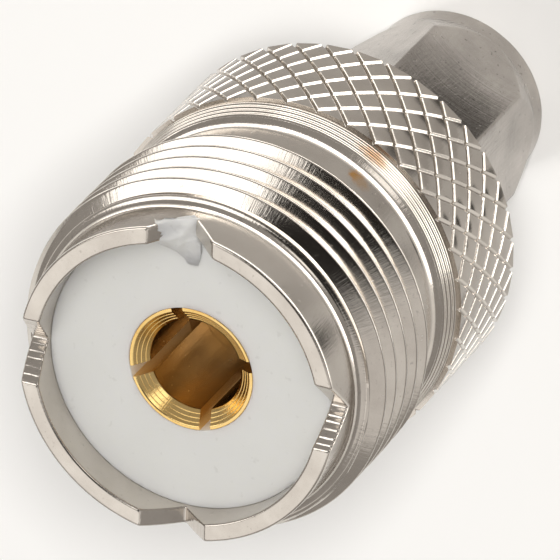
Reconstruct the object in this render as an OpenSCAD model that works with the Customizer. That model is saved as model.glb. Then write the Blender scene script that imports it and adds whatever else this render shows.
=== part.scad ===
// Coaxial adapter, large threaded socket to small plug with a hexagonal coupling nut.
// It stands on the nut's mouth: the axis is +Z, z = 0 is the mouth and the socket looks up.

/* [Socket shell] */
// Diameter of the socket's plain lip, ahead of the thread
lip_d = 14; // [13.6:0.1:14.3]
// Length of the lip
lip_len = 2.4; // [1.8:0.1:3.4]
// Width of the edge break round the lip
lip_edge = 0.15; // [0.05:0.05:0.25]
// Outside diameter of the socket's thread
thread_d = 15.88; // [15.7:0.02:16.4]
// Pitch of the thread, 24 turns per inch
thread_pitch = 1.058; // [0.9:0.001:1.3]
// Depth of the thread
thread_depth = 0.64; // [0.5:0.02:0.66]
// Length of the thread, chamfers included
thread_len = 5.5; // [4:0.1:9]
// Chamfer at each end of the thread
thread_chamfer = 0.45; // [0.2:0.05:0.6]
// Diameter of the relief between thread and shoulder
relief_d = 14.2; // [13.8:0.1:14.4]
// Length of the relief
relief_len = 2.2; // [1.2:0.1:4]
// Radius of the relief's inner corner, ahead of the shoulder
relief_fillet = 0.3; // [0.1:0.05:0.5]
// Length of the sloping shoulder ahead of the grip
shoulder_len = 0.85; // [0.5:0.05:1.5]
// Number of turned rings on the shoulder
shoulder_rings = 4; // [2:1:6]
// Depth of the turned rings
shoulder_ring_depth = 0.06; // [0.02:0.01:0.1]
// Diameter of the cavity behind the lip
cavity_d = 12.44; // [11.8:0.02:12.8]
// Depth of the cavity, from the lip
cavity_depth = 10.6; // [8:0.1:11.4]
// Number of notches in the lip
notch_count = 4; // [2:1:6]
// Depth of the notches
notch_depth = 1.45; // [0.6:0.05:1.8]
// Angle between a notch's two walls
notch_angle = 90; // [60:2:110]

/* [Knurled grip] */
// Diameter over the grip's pads
grip_d = 15.8; // [15.4:0.1:16.6]
// Length of the grip
grip_len = 5.45; // [4:0.05:8]
// Number of knurl grooves in each direction
knurl_starts = 36; // [24:1:44]
// Number of half diamonds along the grip
knurl_rows = 7; // [3:1:9]
// Width of a knurl groove
knurl_groove_w = 0.34; // [0.2:0.02:0.5]
// Depth of a knurl groove
knurl_groove_depth = 0.18; // [0.1:0.02:0.25]
// Turn of the knurl from the notches, in degrees
knurl_turn = 6; // [0:0.5:10]
// Drop from the knurl's groove floor to the turned faces beside the grip
grip_land = 0.06; // [0.02:0.02:0.12]
// Width of the chamfer behind the grip
grip_chamfer = 0.3; // [0.1:0.05:0.5]

/* [Socket inside] */
// Depth of the insulator's face behind the lip
face_depth = 1.55; // [1.5:0.05:2.6]
// Diameter of the hole through the shell's web
web_hole_d = 6; // [5.4:0.1:7]
// Thickness of the shell's web
web_t = 1.4; // [1:0.1:2]
// Outside diameter of the socket contact
contact_d = 5.5; // [5.2:0.02:6]
// Diameter of the socket contact's bore
contact_bore_d = 4; // [3.6:0.02:4.3]
// Depth of the socket contact's bore
contact_bore_depth = 6.8; // [5:0.1:7.4]
// Depth of the lead-in at the contact's mouth
contact_lead = 0.48; // [0.2:0.02:0.6]
// Number of spring fingers round the contact
contact_fingers = 4; // [3:1:6]
// Width of the slots between the fingers
contact_slot_w = 0.5; // [0.3:0.05:0.7]
// Length of the slots
contact_slot_len = 5.6; // [4:0.1:6.4]
// Turn of the slots from the notches, in degrees
contact_turn = 15; // [0:1:45]
// Diameter of the contact's tail
contact_tail_d = 3.2; // [2.6:0.1:3.8]
// Length of the tail behind the web
contact_tail_reach = 0.9; // [0.5:0.1:1.5]

/* [Plug body] */
// Diameter of the shank pressed into the shell
shank_d = 8; // [7.4:0.1:9]
// Diameter of the collar between shell and nut
collar_d = 7.2; // [6.4:0.1:7.9]
// Length of the collar
collar_len = 3.4; // [1.5:0.1:6]
// Diameter of the neck that the nut turns on
neck_d = 5.4; // [5.3:0.02:5.6]
// Outside diameter of the plug's outer contact tube
tube_d = 4.58; // [4.5:0.02:4.7]
// Length of the tube ahead of the neck
tube_len = 2; // [1.6:0.1:2.4]
// Depth of the plug's contact face behind the nut's mouth
plug_face_depth = 3.2; // [2.6:0.1:3.6]
// Diameter of the plug's insulator
plug_insulator_d = 4.1; // [3.9:0.02:4.16]
// Diameter of the pin inside the insulator
pin_d = 1.27; // [1:0.01:1.5]
// Diameter of the pin's mating tip
pin_tip_d = 0.92; // [0.8:0.01:0.96]
// Length of the mating tip ahead of the contact face
pin_tip_len = 2; // [1.4:0.1:2.4]
// Depth of the pin's seat in the contact's tail
pin_seat_depth = 1.2; // [0.8:0.1:2]

/* [Coupling nut] */
// Width across the nut's flats
nut_flats = 8; // [7.9:0.05:9]
// Length of the nut
nut_len = 8.4; // [8:0.1:12]
// Diameter of the nut's turned mouth
nut_mouth_d = 8; // [7.6:0.05:8.4]
// Length of the turned mouth's straight part
nut_mouth_len = 1; // [0.6:0.1:1.6]
// Slope of the cone between mouth and corners, in degrees
nut_cone = 19; // [12:1:35]
// Width of the edge break at both ends
nut_edge = 0.2; // [0.1:0.05:0.3]
// Bore of the nut's thread
nut_thread_d = 5.7; // [5.6:0.02:5.9]
// Depth of the countersink at the mouth
nut_sink = 0.5; // [0.3:0.05:0.7]
// Space behind the neck's front face inside the nut
nut_thread_run = 0.4; // [0.2:0.05:0.8]
// Turn of the nut's corners from the notches, in degrees
nut_turn = -1.5; // [-30:0.5:30]

/* [Retaining ring and gasket] */
// Diameter of the ring's wire
ring_wire_d = 0.56; // [0.4:0.02:0.64]
// Width of the ring's open gap
ring_gap_w = 1; // [0.6:0.1:1.6]
// Distance of the ring's groove from the nut's back
ring_setback = 1.5; // [1:0.1:1.9]
// Thickness of the gasket
gasket_t = 0.8; // [0.5:0.05:1.2]

/* [Fits] */
// Running clearance between nut and neck, on the radius
running_clearance = 0.06; // [0.03:0.01:0.1]
// Clearance round the ring in its grooves
ring_clearance = 0.08; // [0.05:0.01:0.1]
// Gap between the nut's back and the collar
nut_back_gap = 0.3; // [0.2:0.05:0.6]
// Clearance of pieces seated in one another, on the radius
seat_clearance = 0.02; // [0.01:0.005:0.04]

/* [Hidden] */
$fn = 96;
eps = 0.01;

// Stations along the axis, from the nut's mouth up to the lip
collar_z = nut_len + nut_back_gap;
shell_z = collar_z + collar_len;
grip_z = shell_z + grip_chamfer;
shoulder_z = grip_z + grip_len;
relief_z = shoulder_z + shoulder_len;
thread_z = relief_z + relief_len;
lip_z = thread_z + thread_len;
top_z = lip_z + lip_len;
cavity_z = top_z - cavity_depth;
web_z = cavity_z - web_t;
face_z = top_z - face_depth;
contact_floor_z = face_z - contact_bore_depth;
contact_end_z = web_z - contact_tail_reach;
neck_z = plug_face_depth + tube_len;
ring_z = nut_len - ring_setback;
nut_step_z = neck_z + nut_thread_run;

// Radii that follow from the sizes above
grip_floor_r = grip_d / 2 - knurl_groove_depth;
grip_edge_r = grip_floor_r - grip_land;
contact_r = contact_d / 2 - seat_clearance;
nut_bore_r = neck_d / 2 + running_clearance;
ring_r = nut_bore_r - running_clearance / 2;
ring_cut_r = ring_wire_d / 2 + ring_clearance;
nut_corner_r = nut_flats / 2 / cos(30);
nut_cone_len = (nut_corner_r - nut_mouth_d / 2) / tan(nut_cone);

// Outline of the sloping shoulder, from the relief down to the grip, with its turned rings
function shoulder_points() =
  let (
    rise = grip_edge_r - relief_d / 2 - relief_fillet,
    step = 1 / shoulder_rings,
    low = [relief_d / 2 + relief_fillet, relief_z]
  )
  [
    for (k = [0 : shoulder_rings - 1])
      for (end = [0, 1])
        low + [rise * (k + end) * step, -shoulder_len * (k + end * 0.7) * step]
          - [0, end * shoulder_ring_depth]
  ];

// Quarter-round corner of the relief
function fillet_points() = [
  for (a = [0 : 15 : 75])
    [
      relief_d / 2 + relief_fillet * (1 - cos(a)),
      relief_z + relief_fillet * (1 - sin(a))
    ]
];

// Outline of the thread's grooves, from the top one down, centred on the thread's length
function thread_points() =
  let (
    count = floor((thread_len - 2 * thread_chamfer) / thread_pitch),
    root_r = thread_d / 2 - thread_depth,
    root_w = thread_pitch / 4,
    mouth_w = thread_pitch * 11 / 12,
    middle = thread_z + thread_len / 2
  )
  [
    for (k = [count - 1 : -1 : 0])
      let (z = middle + (k - (count - 1) / 2) * thread_pitch)
      for (p = [
        [thread_d / 2, z + mouth_w / 2],
        [root_r, z + root_w / 2],
        [root_r, z - root_w / 2],
        [thread_d / 2, z - mouth_w / 2]
      ]) p
  ];

// Turned outline of the shell: lip, thread, relief, shoulder, the core inside the grip and the rear rim
module shell_profile() {
  polygon(concat(
    [[0, top_z], [lip_d / 2 - lip_edge, top_z], [lip_d / 2, top_z - lip_edge]],
    [
      [lip_d / 2, lip_z],
      [thread_d / 2 - thread_chamfer, lip_z],
      [thread_d / 2, lip_z - thread_chamfer]
    ],
    thread_points(),
    [
      [thread_d / 2, thread_z + thread_chamfer],
      [thread_d / 2 - thread_chamfer, thread_z],
      [relief_d / 2, thread_z]
    ],
    fillet_points(),
    shoulder_points(),
    [
      [grip_edge_r, shoulder_z],
      [grip_edge_r, grip_z],
      [grip_edge_r - grip_chamfer, shell_z],
      [0, shell_z]
    ]
  ));
}

// Diamond knurl as one closed solid. Grooves cross where column plus row is even,
// and a flat-topped pad sits where the sum is odd. Both ends lie on a row of crossings.
module knurl_band() {
  columns = 2 * knurl_starts;
  da = 360 / columns;
  dz = grip_len / knurl_rows;
  half_pitch = PI * grip_d / columns;
  lead = atan2(half_pitch, dz);
  pad_a = da * (1 - knurl_groove_w / 2 / cos(lead) / half_pitch);
  pad_z = dz * (1 - knurl_groove_w / 2 / sin(lead) / dz);
  per_cell = 5;
  function spot(r, a, z) = [r * cos(a + knurl_turn), r * sin(a + knurl_turn), z];
  // Each cell holds a groove crossing, or the left, right, upper and lower corner of a pad and its middle
  points = [
    for (j = [0 : knurl_rows])
      for (c = [0 : columns - 1])
        let (
          z = grip_z + j * dz,
          up = min(z + pad_z, shoulder_z),
          down = max(z - pad_z, grip_z)
        )
        for (p = [
          spot((c + j) % 2 == 0 ? grip_floor_r : grip_d / 2, c * da, z),
          spot(grip_d / 2, c * da - pad_a, z),
          spot(grip_d / 2, c * da + pad_a, z),
          spot(grip_d / 2, c * da, up),
          spot(grip_d / 2, c * da, down)
        ]) p
  ];
  function cell(c, j, k = 0) = ((j * columns + (c + columns) % columns) * per_cell) + k;
  // Pad tops and groove walls on the upper and the lower side of a pad
  upper = [
    for (j = [0 : knurl_rows - 1])
      for (c = [0 : columns - 1])
        if ((c + j) % 2 == 1)
          for (f = [
            [cell(c, j), cell(c, j, 1), cell(c, j, 3)],
            [cell(c, j), cell(c, j, 3), cell(c, j, 2)],
            [cell(c, j, 1), cell(c - 1, j), cell(c, j + 1)],
            [cell(c, j, 1), cell(c, j + 1), cell(c, j, 3)],
            [cell(c, j, 3), cell(c, j + 1), cell(c + 1, j)],
            [cell(c, j, 3), cell(c + 1, j), cell(c, j, 2)]
          ]) f
  ];
  lower = [
    for (j = [1 : knurl_rows])
      for (c = [0 : columns - 1])
        if ((c + j) % 2 == 1)
          for (f = [
            [cell(c, j), cell(c, j, 4), cell(c, j, 1)],
            [cell(c, j), cell(c, j, 2), cell(c, j, 4)],
            [cell(c, j, 1), cell(c, j, 4), cell(c, j - 1)],
            [cell(c, j, 1), cell(c, j - 1), cell(c - 1, j)],
            [cell(c, j, 4), cell(c, j, 2), cell(c + 1, j)],
            [cell(c, j, 4), cell(c + 1, j), cell(c, j - 1)]
          ]) f
  ];
  // The two flat ends, each a fan from its rim to a point on the axis
  function rim(j) = [
    for (c = [0 : columns - 1])
      for (k = (c + j) % 2 == 0 ? [0] : [1, 0, 2])
        cell(c, j, k)
  ];
  low_rim = rim(0);
  top_rim = rim(knurl_rows);
  axis_points = [[0, 0, grip_z], [0, 0, shoulder_z]];
  low_end = [
    for (k = [0 : len(low_rim) - 1])
      [len(points), low_rim[k], low_rim[(k + 1) % len(low_rim)]]
  ];
  top_end = [
    for (k = [0 : len(top_rim) - 1])
      [len(points) + 1, top_rim[(k + 1) % len(top_rim)], top_rim[k]]
  ];
  polyhedron(concat(points, axis_points), concat(upper, lower, low_end, top_end));
}

// V notches across the lip
module lip_notches() {
  half_w = (notch_depth + eps) * tan(notch_angle / 2);
  for (k = [0 : notch_count - 1])
    rotate([0, 0, k * 360 / notch_count])
      translate([cavity_d / 4, 0, top_z - notch_depth])
        rotate([90, 0, 90])
          linear_extrude(lip_d / 2)
            polygon([[0, 0], [half_w, notch_depth + eps], [-half_w, notch_depth + eps]]);
}

module socket_shell() {
  color("silver")
    difference() {
      union() {
        rotate_extrude()
          shell_profile();
        knurl_band();
      }
      translate([0, 0, cavity_z])
        cylinder(h = cavity_depth + eps, d = cavity_d);
      translate([0, 0, web_z - eps])
        cylinder(h = web_t + 2 * eps, d = web_hole_d);
      translate([0, 0, shell_z - eps])
        cylinder(h = web_z - shell_z + eps, d = shank_d);
      lip_notches();
    }
}

module socket_insulator() {
  body_r = cavity_d / 2 - seat_clearance;
  spigot_r = web_hole_d / 2 - seat_clearance;
  color("whitesmoke")
    difference() {
      union() {
        translate([0, 0, cavity_z])
          cylinder(h = face_z - cavity_z, r = body_r);
        translate([0, 0, web_z])
          cylinder(h = web_t + eps, r = spigot_r);
      }
      translate([0, 0, cavity_z])
        cylinder(h = face_z - cavity_z + eps, d = contact_d);
      translate([0, 0, web_z - eps])
        cylinder(h = web_t + 2 * eps, d = contact_tail_d);
    }
}

module socket_contact() {
  bore_r = contact_bore_d / 2;
  tail_r = contact_tail_d / 2 - seat_clearance;
  color("goldenrod")
    difference() {
      union() {
        translate([0, 0, cavity_z])
          cylinder(h = face_z - cavity_z, r = contact_r);
        translate([0, 0, contact_end_z])
          cylinder(h = cavity_z - contact_end_z + eps, r = tail_r);
      }
      translate([0, 0, contact_floor_z])
        cylinder(h = contact_bore_depth + eps, r = bore_r);
      translate([0, 0, face_z - contact_lead])
        cylinder(h = contact_lead + eps, r1 = bore_r, r2 = bore_r + contact_lead + eps);
      for (k = [0 : contact_fingers - 1])
        rotate([0, 0, contact_turn + k * 360 / contact_fingers])
          translate([0, -contact_slot_w / 2, face_z - contact_slot_len])
            cube([contact_d, contact_slot_w, contact_slot_len + eps]);
      translate([0, 0, contact_end_z - eps])
        cylinder(h = pin_seat_depth + eps, d = pin_d);
    }
}

module plug_body() {
  shank_r = shank_d / 2 - seat_clearance;
  color("silver")
    difference() {
      union() {
        translate([0, 0, plug_face_depth])
          cylinder(h = web_z - plug_face_depth, d = tube_d);
        translate([0, 0, neck_z])
          cylinder(h = web_z - neck_z, d = neck_d);
        translate([0, 0, collar_z])
          cylinder(h = collar_len, d = collar_d);
        translate([0, 0, shell_z])
          cylinder(h = web_z - shell_z, r = shank_r);
      }
      translate([0, 0, plug_face_depth - eps])
        cylinder(h = web_z - plug_face_depth + 2 * eps, d = plug_insulator_d);
      ring_cut();
    }
}

// Round groove that the retaining ring sits in, half in the neck and half in the nut
module ring_cut() {
  translate([0, 0, ring_z])
    rotate_extrude()
      translate([ring_r, 0])
        circle(r = ring_cut_r, $fn = 48);
}

module plug_insulator() {
  insulator_r = plug_insulator_d / 2 - seat_clearance;
  color("white")
    difference() {
      translate([0, 0, plug_face_depth])
        cylinder(h = web_z - plug_face_depth, r = insulator_r);
      translate([0, 0, plug_face_depth - eps])
        cylinder(h = web_z - plug_face_depth + 2 * eps, d = pin_d);
      translate([0, 0, contact_end_z])
        cylinder(h = contact_tail_reach + eps, d = contact_tail_d);
    }
}

module plug_pin() {
  tip_z = plug_face_depth - pin_tip_len;
  tip_r = pin_tip_d / 2;
  shaft_r = pin_d / 2 - seat_clearance;
  seat_z = contact_end_z + pin_seat_depth;
  color("goldenrod")
    rotate_extrude()
      polygon([
        [0, tip_z],
        [tip_r / 2, tip_z],
        [tip_r, tip_z + tip_r],
        [tip_r, plug_face_depth],
        [shaft_r, plug_face_depth],
        [shaft_r, seat_z],
        [0, seat_z]
      ]);
}

// Turned outline that rounds off the hexagon's corners at both ends
module nut_turning() {
  rotate_extrude()
    polygon([
      [0, 0],
      [nut_mouth_d / 2 - nut_edge, 0],
      [nut_mouth_d / 2, nut_edge],
      [nut_mouth_d / 2, nut_mouth_len],
      [nut_corner_r, nut_mouth_len + nut_cone_len],
      [nut_corner_r, nut_len - nut_edge],
      [nut_corner_r - nut_edge / tan(30), nut_len],
      [0, nut_len]
    ]);
}

module coupling_nut() {
  sink_r = nut_thread_d / 2 + nut_sink;
  color("silver")
    difference() {
      intersection() {
        rotate([0, 0, nut_turn])
          cylinder(h = nut_len, r = nut_corner_r, $fn = 6);
        nut_turning();
      }
      translate([0, 0, -eps])
        cylinder(h = nut_len + 2 * eps, r = nut_bore_r);
      translate([0, 0, -eps])
        cylinder(h = nut_step_z + eps, d = nut_thread_d);
      translate([0, 0, -eps])
        cylinder(h = nut_sink + eps, r1 = sink_r + eps, r2 = nut_thread_d / 2);
      ring_cut();
    }
}

module retaining_ring() {
  color("darkgray")
    difference() {
      translate([0, 0, ring_z])
        rotate_extrude()
          translate([ring_r, 0])
            circle(d = ring_wire_d, $fn = 48);
      translate([0, -ring_gap_w / 2, ring_z - ring_wire_d])
        cube([nut_flats, ring_gap_w, 2 * ring_wire_d]);
    }
}

module gasket() {
  color("firebrick")
    translate([0, 0, neck_z - gasket_t])
      difference() {
        cylinder(h = gasket_t, d = neck_d);
        translate([0, 0, -eps])
          cylinder(h = gasket_t + 2 * eps, r = tube_d / 2 + seat_clearance);
      }
}

socket_shell();
socket_insulator();
socket_contact();
plug_body();
plug_insulator();
plug_pin();
coupling_nut();
retaining_ring();
gasket();
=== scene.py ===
import functools
import math

import bmesh
import bpy
from mathutils import Matrix, Vector, noise


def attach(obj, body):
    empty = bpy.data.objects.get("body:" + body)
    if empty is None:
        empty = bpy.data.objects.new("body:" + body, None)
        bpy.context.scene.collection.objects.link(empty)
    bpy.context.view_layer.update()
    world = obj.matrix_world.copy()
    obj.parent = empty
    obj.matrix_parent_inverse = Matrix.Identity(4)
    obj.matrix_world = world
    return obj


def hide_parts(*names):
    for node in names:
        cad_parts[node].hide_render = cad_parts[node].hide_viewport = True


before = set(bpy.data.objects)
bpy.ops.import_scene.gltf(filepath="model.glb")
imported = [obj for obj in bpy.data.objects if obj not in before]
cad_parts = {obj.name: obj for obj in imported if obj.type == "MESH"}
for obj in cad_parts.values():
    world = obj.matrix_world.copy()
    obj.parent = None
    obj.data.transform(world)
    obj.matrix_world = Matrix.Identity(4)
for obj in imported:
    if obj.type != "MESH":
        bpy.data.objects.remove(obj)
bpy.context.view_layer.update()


# Socket shell. One bar of brass, turned with a lip, thread, relief and shoulder, rolled with a diamond
# knurl, milled with four V notches at the lip and plated with bright nickel. The plug body is pressed
# into its rear bore. Lengths are in millimetres, apart from the weld distance, which Blender takes in metres.
mm = 0.001
weld = 1e-6
full_turn = 2 * math.pi


def finished(mesh, crease=40):
    """Merges doubles, turns the faces outwards and shades the mesh smooth up to the crease angle."""
    bm = bmesh.new()
    bm.from_mesh(mesh)
    bmesh.ops.remove_doubles(bm, verts=bm.verts, dist=weld)
    bmesh.ops.dissolve_degenerate(bm, edges=bm.edges, dist=weld / 10)
    bmesh.ops.recalc_face_normals(bm, faces=bm.faces)
    bm.to_mesh(mesh)
    bm.free()
    mesh.shade_smooth()
    mesh.set_sharp_from_angle(angle=math.radians(crease))
    return mesh


def lofted(name, sections, crease=40, closed=True):
    """Skin through sections with the same number of points: a closed ring, or a bar with two flat ends."""
    count, total = len(sections[0]), len(sections)
    verts = [(x * mm, y * mm, z * mm) for section in sections for x, y, z in section]
    faces = []
    for i in range(total if closed else total - 1):
        here, after = i * count, (i + 1) % total * count
        for k in range(count):
            following = (k + 1) % count
            faces.append((here + k, after + k, after + following, here + following))
    if not closed:
        last = len(verts) - 1
        faces += [tuple(range(count)), tuple(range(last, last - count, -1))]
    mesh = bpy.data.meshes.new(name)
    mesh.from_pydata(verts, [], faces)
    return finished(mesh, crease)


def eased(outline, radius, steps=3):
    """The closed outline with every corner off the axis rounded, as a plated edge is."""
    side_share, guard, tiny = 0.4, 1.7, 1e-6
    points = []
    for i, corner in enumerate(outline):
        q = Vector(corner)
        back = Vector(outline[i - 1]) - q
        ahead = Vector(outline[(i + 1) % len(outline)]) - q
        if q.x < tiny or back.length < tiny or ahead.length < tiny:
            points.append(tuple(q))
            continue
        reach = min(radius, back.length * side_share, ahead.length * side_share)
        start, end = q + back.normalized() * reach, q + ahead.normalized() * reach
        # A point a little beyond each end of the round keeps the long faces flat in smooth shading
        if back.length > reach * 5:
            points.append(tuple(q + back.normalized() * reach * guard))
        for k in range(steps + 1):
            t = k / steps
            points.append(tuple(start * (1 - t) ** 2 + q * 2 * t * (1 - t) + end * t * t))
        if ahead.length > reach * 5:
            points.append(tuple(q + ahead.normalized() * reach * guard))
    return points


def turned(name, outline, steps=160, crease=40):
    """Outline of radius and height, turned round the axis."""
    return lofted(name, [
        [(r * math.cos(a), r * math.sin(a), z) for r, z in outline]
        for a in (full_turn * k / steps for k in range(steps))
    ], crease)


def node_tree(name, kind, inputs, outputs):
    """New node group with named inputs and outputs, and the sockets of its input node."""
    tree = bpy.data.node_groups.new(name, kind)
    for label, socket, value in inputs:
        made = tree.interface.new_socket(name=label, in_out="INPUT", socket_type="NodeSocket" + socket)
        if value is not None:
            made.default_value = value
    for label, socket in outputs:
        tree.interface.new_socket(name=label, in_out="OUTPUT", socket_type="NodeSocket" + socket)
    return tree, tree.nodes.new("NodeGroupInput").outputs


def calc(tree, operation, *values):
    """Math node on links or plain numbers."""
    step = tree.nodes.new("ShaderNodeMath")
    step.operation = operation
    for slot, value in zip(step.inputs, values):
        if isinstance(value, (int, float)):
            slot.default_value = value
        else:
            tree.links.new(value, slot)
    return step.outputs[0]


def placed(tree, kind, links=(), **settings):
    """Node of a kind with its properties set and its named inputs linked or filled."""
    made = tree.nodes.new(kind)
    for key, value in settings.items():
        setattr(made, key, value)
    for label, value in dict(links).items():
        if isinstance(value, bpy.types.NodeSocket):
            tree.links.new(value, made.inputs[label])
        else:
            made.inputs[label].default_value = value
    return made


def tools(tree):
    """The two node makers above, bound to one tree."""
    return functools.partial(calc, tree), functools.partial(placed, tree)


def end_tree(tree, geometry, material):
    """Last nodes of a geometry tree: instances made real and the material set."""
    real = placed(tree, "GeometryNodeRealizeInstances", {"Geometry": geometry})
    coated = placed(tree, "GeometryNodeSetMaterial", {"Geometry": real.outputs[0], "Material": material})
    placed(tree, "NodeGroupOutput", {"Geometry": coated.outputs[0]})


def grown(tree, mesh, values):
    """The tree's result on a mesh, as a plain mesh without the modifier."""
    carrier = bpy.data.objects.new(mesh.name + "_carrier", mesh)
    bpy.context.collection.objects.link(carrier)
    modifier = carrier.modifiers.new("shape", "NODES")
    modifier.node_group = tree
    for item in tree.interface.items_tree:
        if item.in_out == "INPUT" and item.name in values:
            modifier[item.identifier] = values[item.name]
    shaped = carrier.evaluated_get(bpy.context.evaluated_depsgraph_get())
    result = bpy.data.meshes.new_from_object(shaped)
    bpy.data.objects.remove(carrier)
    return result


def joined(name, meshes):
    """One mesh from several finished ones, each with its number of material."""
    bm = bmesh.new()
    for mesh, finish in meshes:
        for face in mesh.polygons:
            face.material_index = finish
        bm.from_mesh(mesh)
    whole = bpy.data.meshes.new(name)
    bm.to_mesh(whole)
    bm.free()
    return whole


def piece(name, mesh, materials, body, node):
    """Object for a mesh that rides on a body and stands for a CAD node."""
    mesh.materials.clear()
    for material in materials:
        mesh.materials.append(material)
    made = bpy.data.objects.new(name, mesh)
    bpy.context.collection.objects.link(made)
    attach(made, body)
    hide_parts(node)


def in_millimetres(tree):
    """Object coordinates in millimetres."""
    where = placed(tree, "ShaderNodeTexCoord").outputs["Object"]
    return placed(tree, "ShaderNodeVectorMath", {0: where, "Scale": 1 / mm}, operation="SCALE").outputs[0]


def ramp(tree, value, start, end, **settings):
    """Value as a mask that runs from 0 at the start to 1 at the end."""
    limits = {"Value": value, "From Min": start, "From Max": end}
    return placed(tree, "ShaderNodeMapRange", limits, **settings).outputs[0]


def distance_off_axis(tree, x, y):
    """Distance of a place from the adapter's axis."""
    squares = [calc(tree, "MULTIPLY", part, part) for part in (x, y)]
    return calc(tree, "SQRT", calc(tree, "ADD", *squares))


# Marks that turning, plating and handling leave on metal: lathe lines round the axis, chatter along it,
# soft clouds, specks and scratches, all on object coordinates in millimetres.
marks, marks_in = node_tree("plate_marks", "ShaderNodeTree", [
    ("Lathe lines", "Float", 9.0),
    ("Chatter lines", "Float", 40.0),
    ("Speck size", "Float", 5.0),
    ("Scratch turn", "Float", 0.6),
], [(label, "Float") for label in ("Cloud", "Lathe", "Chatter", "Speck", "Scratch")])
do, put = tools(marks)
place = in_millimetres(marks)
xyz = put("ShaderNodeSeparateXYZ", {0: place}).outputs
off_axis = distance_off_axis(marks, xyz[0], xyz[1])
# Lines on faces square to the axis follow the radius, a little wider apart than those along the axis
end_face_share = 0.83
along = do("ADD", xyz[2], do("MULTIPLY", off_axis, end_face_share))
along = do("MULTIPLY", along, marks_in["Lathe lines"])
lathe = put(
    "ShaderNodeTexNoise",
    {"W": along, "Scale": 1.0, "Detail": 3.0, "Roughness": 0.7},
    noise_dimensions="1D",
)
chatter_per_mm = 0.9
flow = put("ShaderNodeCombineXYZ", {
    0: do("MULTIPLY", do("ARCTAN2", xyz[1], xyz[0]), marks_in["Chatter lines"]),
    1: do("MULTIPLY", xyz[2], chatter_per_mm),
    2: off_axis,
})
chatter = put("ShaderNodeTexNoise", {
    "Vector": flow.outputs[0],
    "Scale": 1.0,
    "Detail": 3.0,
    "Roughness": 0.6,
})
cloud = put("ShaderNodeTexNoise", {"Vector": place, "Scale": 0.45, "Detail": 5.0, "Roughness": 0.55})
speck = put("ShaderNodeTexNoise", {
    "Vector": place,
    "Scale": marks_in["Speck size"],
    "Detail": 2.0,
    "Roughness": 0.5,
})
slant = put(
    "ShaderNodeVectorRotate",
    {"Vector": place, "Angle": marks_in["Scratch turn"]},
    rotation_type="X_AXIS",
)
scratch_stretch = (9.0, 9.0, 0.55)
stretch = put("ShaderNodeVectorMath", {0: slant.outputs[0], 1: scratch_stretch}, operation="MULTIPLY")
scratch = put("ShaderNodeTexNoise", {"Vector": stretch.outputs[0], "Scale": 1.0, "Detail": 1.0})
put("NodeGroupOutput", {
    "Cloud": cloud.outputs[0],
    "Lathe": lathe.outputs[0],
    "Chatter": chatter.outputs[0],
    "Speck": ramp(marks, speck.outputs[0], 0.66, 0.74),
    "Scratch": ramp(marks, scratch.outputs[0], 0.70, 0.76),
})


def new_material(name):
    """Material with an empty node tree but for its shader, and its tree and shader."""
    made = bpy.data.materials.new(name)
    made.use_nodes = True
    return made, made.node_tree, made.node_tree.nodes["Principled BSDF"]


def blend(tree, factor, first, second):
    """Colour mix of links or plain colours."""
    mix = tree.nodes.new("ShaderNodeMix")
    mix.data_type = "RGBA"
    for slot, value in ((mix.inputs[0], factor), (mix.inputs[6], first), (mix.inputs[7], second)):
        if isinstance(value, bpy.types.NodeSocket):
            tree.links.new(value, slot)
        else:
            slot.default_value = value if isinstance(value, (int, float)) else (*value, 1.0)
    return mix.outputs[2]


def roughen(tree, shader, strength, depth, height):
    """Bump of a depth on the shader."""
    bump = placed(tree, "ShaderNodeBump", {"Strength": strength, "Distance": depth * mm, "Height": height})
    tree.links.new(bump.outputs[0], shader.inputs["Normal"])


def spot(tree, centre, inner, outer, squash):
    """Mask round one place on the piece, with a ragged edge."""
    do, put = tools(tree)
    raggedness = 0.9
    where = in_millimetres(tree)
    shift = tuple(-c for c in centre)
    shifted = put("ShaderNodeVectorMath", {0: where, 1: shift}, operation="ADD").outputs[0]
    scaled = put("ShaderNodeVectorMath", {0: shifted, 1: squash}, operation="MULTIPLY").outputs[0]
    far = put("ShaderNodeVectorMath", {0: scaled}, operation="LENGTH").outputs["Value"]
    ragged = put("ShaderNodeTexNoise", {"Vector": where, "Scale": 5.0, "Detail": 3.0}).outputs[0]
    edge = do("ADD", far, do("MULTIPLY", do("SUBTRACT", ragged, 0.5), outer * raggedness))
    return ramp(tree, edge, outer, inner)


def plated(name, bright, dull, rough, lines, chatter_lines, depth, speck=0.25, stains=()):
    """Plated metal: bright and dull tones in clouds, turning marks as bump, specks, scratches and stains."""
    speck_shade, grain_rough, cloud_rough = 0.45, 0.10, 0.06
    chatter_height, scratch_depth = 4.0, 0.5
    made, tree, shader = new_material(name)
    do, put = tools(tree)
    shader.inputs["Metallic"].default_value = 1.0
    counts = {"Lathe lines": lines, "Chatter lines": chatter_lines}
    mark = put("ShaderNodeGroup", counts, node_tree=marks).outputs
    cloud = ramp(tree, mark["Cloud"], 0.35, 0.65)
    tone = blend(tree, cloud, bright, dull)
    tone = blend(tree, do("MULTIPLY", mark["Speck"], speck), tone, [c * speck_shade for c in dull])
    for centre, inner, outer, colour, squash in stains:
        tone = blend(tree, spot(tree, centre, inner, outer, squash), tone, colour)
    tree.links.new(tone, shader.inputs["Base Color"])
    grain = do("MULTIPLY", do("ADD", mark["Lathe"], mark["Scratch"]), grain_rough)
    gloss = do("ADD", grain, rough - grain_rough / 2)
    gloss = do("ADD", gloss, do("MULTIPLY", cloud, cloud_rough))
    tree.links.new(gloss, shader.inputs["Roughness"])
    height = do("ADD", mark["Lathe"], do("MULTIPLY", mark["Chatter"], chatter_height))
    height = do("SUBTRACT", height, do("MULTIPLY", mark["Scratch"], scratch_depth))
    roughen(tree, shader, 1.0, depth, height)
    return made


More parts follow.
